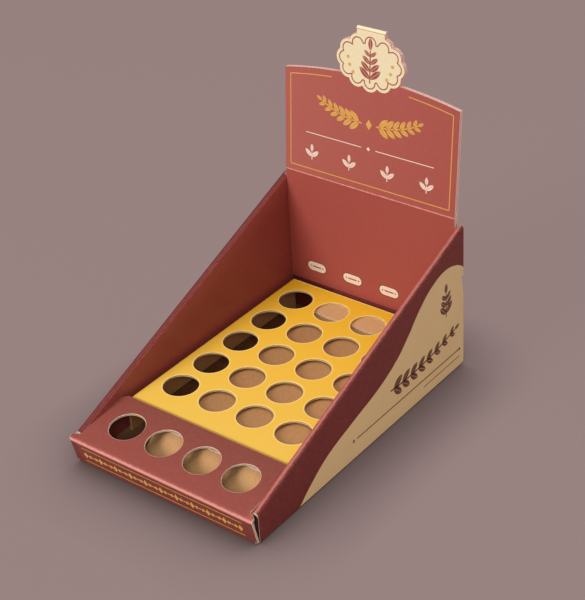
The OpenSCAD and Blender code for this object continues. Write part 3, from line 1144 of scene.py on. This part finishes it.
@dataclass
class OuterTray(FoldedSheet):
    """The tray, with its two-tone sides, rubbed folds with painted highlights, painted shade on its inner
    left wall, front wall and shelf, and printed borders.
    """

    node: str = "outer_tray"
    name: str = "tray_sheet"
    slot: str = "tray_board"
    looks: Point3 = DOWN
    liner: BoardFinish = TRAY_LINER
    front_lean: float = math.radians(12)
    front_flat: float = 16.05 * MM
    front_h: float = 19.5 * MM
    side_front_h: float = 19.0 * MM
    wall_t: float = 4.1 * MM
    worn_and_lit_drop: float = 0.8 * MM
    base_reach: float = 0.8 * MM
    shadow_line: float = 1.3 * MM
    shelf_back: float = -59.0 * MM
    side_clear: float = 0.2 * MM
    first_hole: Point = (-40.5 * MM, -80.3 * MM)
    hole_columns: int = 4
    hole_pitch: float = 27.0 * MM
    hole_d: float = 21.0 * MM
    # Box of the painted light on the base below the shelf's open hole
    pale_base: tuple[Point3, Point3] = ((-61 * MM, -75 * MM, 0.0), (-30 * MM, -40 * MM, 3 * MM))
    # How far a normal turns to X for a side, and down for the underside
    upright: float = 0.7
    level: float = 0.99
    # Points of the wave, by shares of half the depth and by heights
    wave: Sequence[Point] = (
        (-0.65, 0.0), (-0.49, 12 * MM), (-0.36, 19 * MM), (-0.12, 26.5 * MM),
        (0.12, 33.5 * MM), (0.3, 42 * MM), (0.42, 51.5 * MM), (0.55, 63.5 * MM),
        (0.67, 71 * MM), (0.8, 74.5 * MM), (0.9, 73 * MM), (1.0, 67 * MM),
    )
    border_pitch: float = 11 * MM
    border_links: int = 5
    border_middle: float = 0.47
    border_rules: Point = (0.16, 0.78)

    def __post_init__(self) -> None:
        """Works out where the side walls and the rubbed front fold with its painted highlight lie."""
        super().__post_init__()
        self.foot_y = -self.high.y
        self.half = self.high.x - self.wall_t - self.side_clear
        self.worn_and_lit_z = self.front_h - BOARD.bend - self.worn_and_lit_drop

    def across(self, place: Vector, normal: Vector) -> float:
        """Flutes run back along the base and the sides, and upright in the front and back walls."""
        return place.z if abs(normal.x) > self.upright else place.x

    def kind(self, place: Vector, normal: Vector) -> Face:
        """The underside of the base carries no ink."""
        underside = normal.z < -self.level and place.z < self.low.z + BOARD.weld
        return Face.PLAIN if underside else Face.PRINT

    def cut_kind(self, place: Vector) -> Face:
        """The front ends of the side walls get painted shade below their folded tops."""
        at_front = abs(place.y - self.foot_y - BOARD.bend) < BOARD.rim
        return Face.ACCENT if at_front and place.z < self.front_h - BOARD.bend else Face.CUT

    def liner_material(self) -> Material:
        """Returns the plain liner, dark as painted shade, with painted light on the base below the shelf's
        open hole.
        """
        pale = PrintAndLightTone(Shade.LIT_KRAFT, *self.pale_base, axis=Axis.X, shares=(0.25, 0.25))
        return self.liner.material(self.paints.effects, fields=[pale])

    def materials(self) -> list[Material]:
        """Adds the cut edge darkened as painted shade."""
        return [*super().materials(), self.paints.get(SHADED_EDGE)]

    def _folds(self) -> list[Fold]:
        """Lists the folds whose ink is rubbed, with a painted highlight on the front's top and on the sides'
        sloping tops.

        Returns:
            The front's top, the sides' sloping tops, and the folds round the base.
        """
        crown, reach = BOARD.crown, self.base_reach
        slope = math.atan2(self.high.z - self.side_front_h, self.high.y - self.foot_y)
        front = (0.0, self.low.y, self.front_h - crown * 2 - self.worn_and_lit_drop)
        side = (self.high.x - self.wall_t / 2 + crown / 2, self.foot_y, self.side_front_h)
        climb = (0.0, math.cos(slope), math.sin(slope))
        return [
            # Painted highlight: broad along the front's top, faint along the sides' sloping tops
            Fold(front, RIGHT, reach=2.0 * MM, strength=1.0, ragged=0.35),
            Fold(side, climb, reach=1.9 * MM, strength=0.22, both_sides=False),
            Fold((self.high.x - crown, 0.0, crown), BACK, reach),
            Fold((0.0, self.foot_y + crown, crown), RIGHT, reach),
            Fold((0.0, self.high.y - crown, crown), RIGHT, reach),
        ]

    def _tones(self) -> list[Union[SideField, PrintAndLightTone]]:
        """Lists the further colours: the two-tone print of the sides and painted shade.

        Returns:
            Painted shade on the inner left wall, the two-tone sides, painted shade that darkens the shelf
            towards its back with a painted shadow line at its back edge, and painted shade on the front
            wall.
        """
        low, high, half = tuple(self.low), self.high, self.half
        wall_end = (-half, high.y, high.z)
        shelf = (-half, low[Axis.Y], self.worn_and_lit_z)
        shelf_edge_shadow = (-half, self.shelf_back - self.shadow_line, self.worn_and_lit_z)
        shelf_end = (half, self.shelf_back, high.z)
        front_end = (high.x, self.foot_y + BOARD.crease, self.worn_and_lit_z)
        sides = SideField(
            above=Shade.SIDE_MAROON,
            below=Shade.CREAM,
            inner_right=high.x - self.wall_t / 2 + BOARD.crease,
            # The darker maroon covers the left wall's whole roll as painted shade; on the right it covers
            # only the outer half
            inner_left=high.x - self.wall_t + BOARD.crease,
            front_y=self.foot_y + BOARD.thickness,
            wave=[(share * high.y, height) for share, height in self.wave],
        )
        return [
            # Painted shade on the inner left wall
            PrintAndLightTone(Shade.DEEP_MAROON, low, wall_end, Axis.Y, shares=(0.32, 0.32)),
            sides,
            # Painted shade: the shelf darkens towards its back
            PrintAndLightTone(Shade.BROWN, shelf, shelf_end, Axis.Y, shares=(0.27, 0.56)),
            # Painted shadow line along the shelf's back edge, where it lies on the platform
            PrintAndLightTone(Shade.BROWN, shelf_edge_shadow, shelf_end, Axis.Y, shares=(0.4, 0.8)),
            # Painted shade on the front wall, which leans out and faces down
            PrintAndLightTone(Shade.DEEP_MAROON, low, front_end, Axis.Z, shares=(0.6, 0.5)),
        ]

    def print_material(self) -> Material:
        """Returns the maroon print with the paler wave on the sides."""
        rims = HoleRims(
            self.first_hole, self.hole_columns, rows=1, pitch=self.hole_pitch, radius=self.hole_d / 2,
            width=0.22 * MM,
        )
        return TRAY_PRINT.material(self.paints.effects, self._folds(), self._tones(), rims)

    def front_panel(self) -> PrintPanel:
        """Returns the outer face of the leaning front wall, from the fold at its foot."""
        lean, bend = self.front_lean, BOARD.bend
        foot = (0.0, self.foot_y + bend - bend * math.cos(lean), bend - bend * math.sin(lean))
        return PrintPanel(foot, RIGHT, (0.0, -math.sin(lean), math.cos(lean)))

    def print_front(self) -> None:
        """Prints a border of diamonds and leaves along the front wall."""
        run = InkRun("front_border", self.front_panel(), GOLD_INK)
        middle, pitch, links = self.front_flat * self.border_middle, self.border_pitch, self.border_links
        for link in range(-links, links + 1):
            x = link * pitch
            run.diamond((x, middle), width=3.2 * MM, height=5.0 * MM)
            if link < links:
                run.disc((x + pitch / 2, middle), width=1.2 * MM)
                for turn in (0.0, math.pi):
                    foot = x + pitch / 2 + 0.8 * MM * math.cos(turn)
                    run.leaf((foot, middle), length=2.9 * MM, width=2.2 * MM, turn=turn)
        for height in self.border_rules:
            run.bar((0.0, self.front_flat * height), length=2 * (links * pitch + 2 * MM), width=0.5 * MM)
        run.lay(self.paints)

    def print_side(self, side: int) -> None:
        """Prints a leafy branch, a sprig and rules on one side.

        Args:
            side: 1 for the right side, -1 for the left.
        """
        panel = PrintPanel((side * self.high.x, 0.0, 0.0), (0.0, float(side), 0.0), UP)
        run = InkRun("side_print_right" if side > 0 else "side_print_left", panel, BROWN_INK)
        run.garland(
            centre=(side * 42 * MM, 224 * MM), radius=200 * MM, start=math.radians(-90 - side * 5.5),
            sweep=side * math.radians(19), pairs=8, leaf=(10 * MM, 4.6 * MM), splay=math.radians(36),
        )
        run.sprig(
            at=(side * 80 * MM, 43 * MM), turn=math.pi / 2, pairs=3, step=4.6 * MM,
            leaf=(8.6 * MM, 3.8 * MM), splay=math.radians(46),
        )
        run.bar(at=(side * 42 * MM, 13 * MM), length=104 * MM, width=0.8 * MM)
        run.bar(at=(side * 75 * MM, 8 * MM), length=38 * MM, width=0.6 * MM)
        for y in (-13 * MM, 94 * MM):
            run.diamond(at=(side * y, 13 * MM), width=2.4 * MM)
        run.lay(self.paints)

    def dress(self) -> None:
        """Builds the sheet and its print."""
        self.build()
        self.print_front()
        for side in (1, -1):
            self.print_side(side)


@dataclass
class HeaderCard(FoldedSheet):
    """The header card, with its medallion, leafy ornament and the labels above the holes."""

    node: str = "header_card"
    name: str = "card_sheet"
    slot: str = "card_board"
    looks: Point3 = FORWARD
    liner: BoardFinish = FLAP_LINER
    edge: CutFinish = CARD_EDGE
    rim_slot: int = -1
    lean: float = math.radians(5)
    crease_z: float = 98.7 * MM
    lining_y: float = 95.8 * MM
    foot_top: float = 22.9 * MM
    flap_print: float = 8.0 * MM
    fold_h: float = 1.4 * MM
    header_h: float = 64.3 * MM
    arch_rise: float = 6.0 * MM
    medallion: Point = (47.0 * MM, 35.0 * MM)
    lobes: int = 12
    lobe_r: float = 6.0 * MM
    outline_points: int = 240
    medallion_lift: float = 8.7 * MM
    tab: Point = (19.6 * MM, 20.0 * MM)
    berries: Sequence[Point] = ((11.5 * MM, -7.5 * MM), (14.0 * MM, -3.6 * MM), (15.2 * MM, 0.9 * MM))
    columns: Sequence[float] = (-40.5 * MM, -13.5 * MM, 13.5 * MM, 40.5 * MM)
    label_z: float = 34.5 * MM
    border_inset: float = 4.0 * MM
    border_line: float = 0.55 * MM
    border_gap: float = 26.5 * MM
    marks_s: float = 27 * MM

    def __post_init__(self) -> None:
        """Works out the card's face and where the print of its flap ends."""
        super().__post_init__()
        self.half = self.high.x
        self.flap_end = self.lining_y - self.flap_print
        self.arch_top = self.header_h + self.arch_rise
        self.medallion_s = self.arch_top + self.medallion_lift
        self.arch_r = (self.half ** 2 + self.arch_rise ** 2) / (2 * self.arch_rise)

    def across(self, place: Vector, normal: Vector) -> float:
        """Flutes stand upright in the card."""
        return place.x

    def materials(self) -> list[Material]:
        """Adds the ink of the tab's fold, the painted shade on the lining's foot and the flap's cut edge."""
        return [*super().materials(), *(self.paints.get(look) for look in (CREAM_INK, SHADED_FOOT_PRINT, CUT_EDGE))]

    def split(self, bm: BMesh) -> None:
        """Cuts the lining at the platform's height, and the tuck flap where its print runs out.

        Args:
            bm: The sheet.
        """
        for place, normal in (((0.0, self.flap_end, 0.0), BACK), ((0.0, 0.0, self.foot_top), UP)):
            bmesh.ops.bisect_plane(
                bm, geom=[*bm.verts, *bm.edges, *bm.faces], dist=BOARD.weld, plane_co=place, plane_no=normal
            )

    def kind(self, place: Vector, normal: Vector) -> Face:
        """The flap carries no ink, the lining's foot is painted dark as shade, and the tab's fold has the
        medallion's ink.
        """
        if place.z < self.foot_top:
            return Face.PLAIN if place.y < self.flap_end else Face.SHADED_FOOT
        return Face.ACCENT if place.z > self.high.z - self.fold_h else Face.PRINT

    def cut_kind(self, place: Vector) -> Face:
        """The slits beside the flap get the same painted shade as the foot, and the flap's edges show bare
        board.
        """
        if place.z > self.foot_top + BOARD.bend:
            return Face.CUT
        return Face.FLAP_CUT if place.y < self.flap_end else Face.SHADED_FOOT

    def print_material(self) -> Material:
        """Returns the plain maroon print with a rubbed crease carrying a painted highlight, and painted
        light that brightens the header towards its left.
        """
        # The crease's mark is rubbed ink and a painted highlight
        crease = Fold((0.0, self.lining_y, self.crease_z), RIGHT, reach=0.7 * MM, strength=0.9)
        low = (self.low.x, self.low.y, self.crease_z)
        # Painted light: the header is lighter towards its left
        tone = PrintAndLightTone(Shade.WORN_AND_LIT_MAROON, low, tuple(self.high), Axis.X, shares=(0.12, 0.03))
        return CARD_PRINT.material(self.paints.effects, [crease], [tone])

    def face_panel(self) -> PrintPanel:
        """Returns the front of the leaning header, from its crease."""
        lean, bend = self.lean, BOARD.bend
        foot = (0.0, self.lining_y + bend - bend * math.cos(lean), self.crease_z + bend * math.sin(lean))
        return PrintPanel(foot, RIGHT, (0.0, math.sin(lean), math.cos(lean)))

    def scallops(self, inset: float, tab: bool) -> list[Point]:
        """Draws the medallion's outline by the furthest lobe in each direction.

        Args:
            inset: How far the outline is drawn in.
            tab: Whether the joining tab above the medallion belongs to it.

        Returns:
            Points of the outline on the header's face.
        """
        wide, high = (size / 2 - self.lobe_r for size in self.medallion)
        turns = [math.tau * lobe / self.lobes for lobe in range(self.lobes)]
        centres = [Vector((wide * math.cos(turn), high * math.sin(turn))) for turn in turns]
        outline = []
        for number in range(self.outline_points):
            angle = math.tau * number / self.outline_points
            ray = Vector((math.cos(angle), math.sin(angle)))
            reach = 1 / math.hypot(ray.x / wide, ray.y / high)
            for centre in centres:
                along = centre.dot(ray)
                room = (self.lobe_r - inset) ** 2 - (centre.length_squared - along ** 2)
                if room > 0:
                    reach = max(reach, along + math.sqrt(room))
            if tab and ray.y > 0:
                sides = (self.tab[0] / 2 - inset) / max(abs(ray.x), TINY)
                reach = max(reach, min(sides, (self.tab[1] - BOARD.thickness - inset) / ray.y))
            outline.append((ray.x * reach, self.medallion_s + ray.y * reach))
        return outline

    def print_medallion(self) -> None:
        """Prints the pale medallion with a line round it and an upright sprig."""
        panel, middle = self.face_panel(), self.medallion_s
        ground = InkRun("medallion_ground", panel, CREAM_INK)
        ground.field(self.scallops(inset=0.3 * MM, tab=True))
        ground.lay(self.paints)
        line = InkRun("medallion_sprig", panel, MAROON_INK, layer=1)
        line.field(self.scallops(inset=2.0 * MM, tab=False), line=0.7 * MM)
        line.sprig(
            at=(0.0, middle - 12 * MM), turn=math.pi / 2, pairs=4, step=4.4 * MM, leaf=(9.5 * MM, 3.6 * MM),
            splay=math.radians(50),
        )
        line.lay(self.paints)
        berries = InkRun("medallion_berries", panel, GOLD_INK, layer=1)
        for side in (-1, 1):
            for x, s in self.berries:
                berries.disc((side * x, middle + s), width=2.1 * MM)
        berries.lay(self.paints)

    def print_ornament(self) -> None:
        """Prints a border and a leafy ornament on the header."""
        gold = InkRun("header_ornament", self.face_panel(), GOLD_INK)
        inset, line = self.border_inset, self.border_line
        side_x = self.half - inset
        corner = self.arch_top - self.arch_r
        top_r = self.arch_r - inset
        rise = corner + math.sqrt(top_r ** 2 - side_x ** 2) - inset
        gold.bar((0.0, inset), 2 * side_x, line)
        for side in (-1, 1):
            gold.bar((side * side_x, inset + rise / 2), rise, line, math.pi / 2)
            start, end = (math.acos(side * x / top_r) for x in (side_x, self.border_gap))
            gold.arc((0.0, corner), top_r, line, start, end - start)
            gold.garland(
                centre=(side * 5 * MM, 100 * MM), radius=58 * MM, start=-math.pi / 2,
                sweep=side * math.radians(29), pairs=6, leaf=(8.5 * MM, 3.4 * MM), splay=math.radians(42),
            )
        gold.diamond(at=(0.0, 42 * MM), width=4.2 * MM, height=6.4 * MM)
        gold.lay(self.paints)

    def print_marks(self) -> None:
        """Prints a rule and a row of small sprigs on the header."""
        pale = InkRun("header_marks", self.face_panel(), LABEL_INK)
        for side in (-1, 1):
            pale.bar(at=(side * 25 * MM, self.marks_s), length=40 * MM, width=0.5 * MM)
        pale.diamond(at=(0.0, self.marks_s), width=2.6 * MM)
        for x in self.columns:
            pale.sprig(
                at=(x, 10 * MM), turn=math.pi / 2, pairs=1, step=3.6 * MM, leaf=(6.5 * MM, 2.6 * MM),
                splay=math.radians(48),
            )
        pale.lay(self.paints)

    def print_labels(self) -> None:
        """Prints a blank label on the lining above each column of holes."""
        panel = PrintPanel((0.0, self.lining_y, 0.0), RIGHT, UP)
        edges = InkRun("label_edges", panel, BROWN_INK)
        pills = InkRun("label_pills", panel, LABEL_INK, layer=1)
        dashes = InkRun("label_dashes", panel, MAROON_INK, layer=2)
        for x in self.columns:
            edges.bar((x, self.label_z), length=14.6 * MM, width=7.2 * MM)
            pills.bar((x, self.label_z), length=13.6 * MM, width=6.2 * MM)
            dashes.bar((x, self.label_z), length=6.5 * MM, width=0.9 * MM)
            for side in (-1, 1):
                dashes.diamond((x + side * 4.6 * MM, self.label_z), width=1.3 * MM)
        for run in (edges, pills, dashes):
            run.lay(self.paints)

    def dress(self) -> None:
        """Builds the sheet and its print."""
        self.build()
        self.print_medallion()
        self.print_ornament()
        self.print_marks()
        self.print_labels()


@dataclass
class ProductPlatform(FoldedSheet):
    """The yellow platform with its rows of holes."""

    node: str = "product_platform"
    name: str = "platform_sheet"
    slot: str = "platform_board"
    looks: Point3 = UP
    edge: CutFinish = PLATFORM_EDGE
    columns: int = 4
    rows: int = 5
    pitch: float = 27.0 * MM
    hole_d: float = 21.0 * MM
    row_back_margin: float = 18.9 * MM
    shadow_end: float = -57.7 * MM
    rim: float = 0.95 * MM

    def print_material(self) -> Material:
        """Builds the yellow print, deeper yellow towards the back, with rubbed side folds carrying a painted
        highlight, a painted highlight along the back edge, a painted shadow line along the front edge under
        the shelf, and pale rims round the holes.

        Returns:
            The new material.
        """
        low, high = tuple(self.low), self.high
        # The side folds are rubbed and carry a painted highlight
        fold = Fold((high.x - BOARD.crown, 0.0, high.z - BOARD.crown), BACK)
        # Painted highlight along the back edge
        back = Fold((0.0, high.y, high.z), RIGHT, reach=1.9 * MM, strength=0.95)
        tone = PrintAndLightTone(Shade.DEEP_YELLOW, low, tuple(high), Axis.Y, shares=(0.0, 0.85))
        # Painted shadow line where the shelf's edge lies over the front of the platform
        line = PrintAndLightTone(Shade.DARK_KRAFT, low, (high.x, self.shadow_end, high.z), Axis.Y, shares=(0.8, 0.6))
        first_x = -self.pitch * (self.columns - 1) / 2
        first_y = high.y - self.row_back_margin - self.pitch * (self.rows - 1)
        rims = HoleRims((first_x, first_y), self.columns, self.rows, self.pitch, self.hole_d / 2, self.rim)
        return PLATFORM_PRINT.material(self.paints.effects, [fold, back], [tone, line], rims)


@dataclass
class InnerSupport(FoldedSheet):
    """The plain support under the platform."""

    node: str = "inner_support"
    name: str = "support_sheet"
    slot: str = "kraft_board"
    looks: Point3 = UP
    deck_front: float = -68.0 * MM
    apron_slope: float = math.radians(36)

    def print_material(self) -> Material:
        """Builds the plain liner with a cracked crease above the apron, painted light on the apron and a
        tone darkening the deck towards the left.

        Returns:
            The new material.
        """
        low, high, front = self.low, self.high, self.deck_front
        turn = self.apron_slope / 2
        crest = (0.0, front - BOARD.bend * math.sin(turn), high.z - BOARD.bend * (1 - math.cos(turn)))
        crease = Fold(crest, RIGHT, reach=0.7 * MM, strength=0.9)
        # Painted light on the apron, seen through the shelf's holes
        apron = PrintAndLightTone(Shade.LIT_KRAFT, tuple(low), (high.x, front, high.z), Axis.Y, shares=(0.25, 0.15))
        deck = PrintAndLightTone(Shade.DARK_KRAFT, (low.x, front, low.z), tuple(high), Axis.X, shares=(0.9, 0.0))
        return SUPPORT_LINER.material(self.paints.effects, [crease], [apron, deck])


@dataclass(frozen=True)
class SoftLamp:
    """A large square lamp that looks at the display."""

    name: str
    place: Point3
    size: float
    power: float
    tint: Point3 = (1.0, 1.0, 1.0)
    spread: float = math.pi

    def build(self, target: Vector) -> None:
        """Adds the lamp.

        Args:
            target: The point that it looks at.
        """
        data = bpy.data.lights.new(self.name, "AREA")
        configure(data, size=self.size, energy=self.power, color=self.tint, spread=self.spread)
        turn = (target - Vector(self.place)).to_track_quat("-Z", "Y").to_euler()
        lamp = add_object(self.name, data)
        configure(lamp, visible_camera=False, location=self.place, rotation_euler=turn)


WARM: Point3 = (1.0, 0.97, 0.93)


@dataclass
class Studio:
    """Floor, light and camera round the display."""

    floor_half: float = 8.0
    floor_even: float = 0.8
    floor_grain: Point = (20.0, 3.0)
    floor_rough: Point = (0.75, 0.9)
    floor_specular: float = 0.2
    contact_reach: float = 50 * MM
    contact_depth: float = 1.7
    azimuth: float = math.radians(39.50)
    elevation: float = math.radians(32.23)
    roll: float = math.radians(-3.79)
    camera_place: Point3 = (0.4768, -0.5577, 0.5370)
    lens: float = 94.16
    sensor: float = 36.0
    clip_start: float = 10 * MM
    ambient: float = 0.29
    sky: Colour = (1.0, 0.98, 0.97, 1.0)
    lamps: Sequence[SoftLamp] = (
        SoftLamp("key_lamp", place=(-0.728, -2.177, 1.32), size=1.1, power=43.0, tint=WARM),
        SoftLamp("front_lamp", place=(1.2, -1.45, 1.5), size=0.6, power=9.0, tint=WARM),
        SoftLamp("top_lamp", place=(0.1, 0.2, 1.9), size=1.4, power=12.9),
        SoftLamp("fill_lamp", place=(1.65, 0.0, 0.13), size=0.22, power=0.35, spread=math.radians(50)),
    )

    def floor_material(self) -> Material:
        """Builds the floor's paint, which the camera sees evenly lit but for a shadow at the contact.

        Returns:
            The new material.
        """
        material, sheet, shader = new_material("floor_paint")
        sheet.fill(shader, {
            "Base Color": Shade.FLOOR.value,
            "Roughness": sheet.span(sheet.noise(sheet.place(), *self.floor_grain), *self.floor_rough),
            "Specular IOR Level": self.floor_specular,
        })
        rays = sheet.add("LightPath").outputs
        seen = sheet.math("MAXIMUM", rays["Is Camera Ray"], rays["Is Glossy Ray"])
        nearby = sheet.add("AmbientOcclusion", {"Distance": self.contact_reach}).outputs["AO"]
        bright = sheet.math("POWER", nearby, self.contact_depth)
        even = sheet.add("Emission", {"Color": Shade.FLOOR.value, "Strength": bright}).outputs[0]
        share = sheet.math("MULTIPLY", seen, self.floor_even)
        surface = sheet.add("MixShader", {0: share, 1: shader.outputs[0], 2: even}).outputs[0]
        sheet.fill(material.node_tree.nodes["Material Output"], {"Surface": surface})
        return material

    def build_floor(self) -> None:
        """Lays the plain floor."""
        bm = bmesh.new()
        bmesh.ops.create_grid(bm, x_segments=1, y_segments=1, size=self.floor_half)
        floor = add_mesh("floor", bm, [self.floor_material()])

    def build_light(self) -> None:
        """Sets the even light of the room and the soft lamps."""
        world = configure(bpy.data.worlds.new("studio"), use_nodes=True)
        sky = world.node_tree.nodes["Background"]
        NodeSheet(world.node_tree).fill(sky, {"Color": self.sky, "Strength": self.ambient})
        bpy.context.scene.world = world
        low, high = CAD_BOX
        for lamp in self.lamps:
            lamp.build((low + high) / 2)

    def build_camera(self) -> None:
        """Places the camera as the photograph was taken."""
        back = Vector((
            math.sin(self.azimuth) * math.cos(self.elevation),
            -math.cos(self.azimuth) * math.cos(self.elevation),
            math.sin(self.elevation),
        ))
        right = Vector((math.cos(self.azimuth), math.sin(self.azimuth), 0.0))
        up = back.cross(right)
        across = math.cos(self.roll) * right + math.sin(self.roll) * up
        above = math.cos(self.roll) * up - math.sin(self.roll) * right
        turn = Matrix((across, above, back)).transposed().to_4x4()
        data = bpy.data.cameras.new("photo_camera")
        configure(data, lens=self.lens, sensor_width=self.sensor, clip_start=self.clip_start)
        camera = add_object("photo_camera", data)
        camera.matrix_world = Matrix.Translation(self.camera_place) @ turn
        bpy.context.scene.camera = camera

    def build(self) -> None:
        """Builds the studio."""
        self.build_floor()
        self.build_light()
        self.build_camera()
        bpy.context.scene.view_settings.view_transform = "Standard"


def main() -> None:
    """Builds the studio and the four sheets with their print."""
    logging.basicConfig(level=logging.INFO, format="%(name)s: %(message)s")
    Studio().build()
    paints = Paints(PaperEffects())
    for sheet in (
        OuterTray(paints),
        HeaderCard(paints),
        ProductPlatform(paints),
        InnerSupport(paints),
    ):
        sheet.dress()


if __name__ == "__main__":
    main()
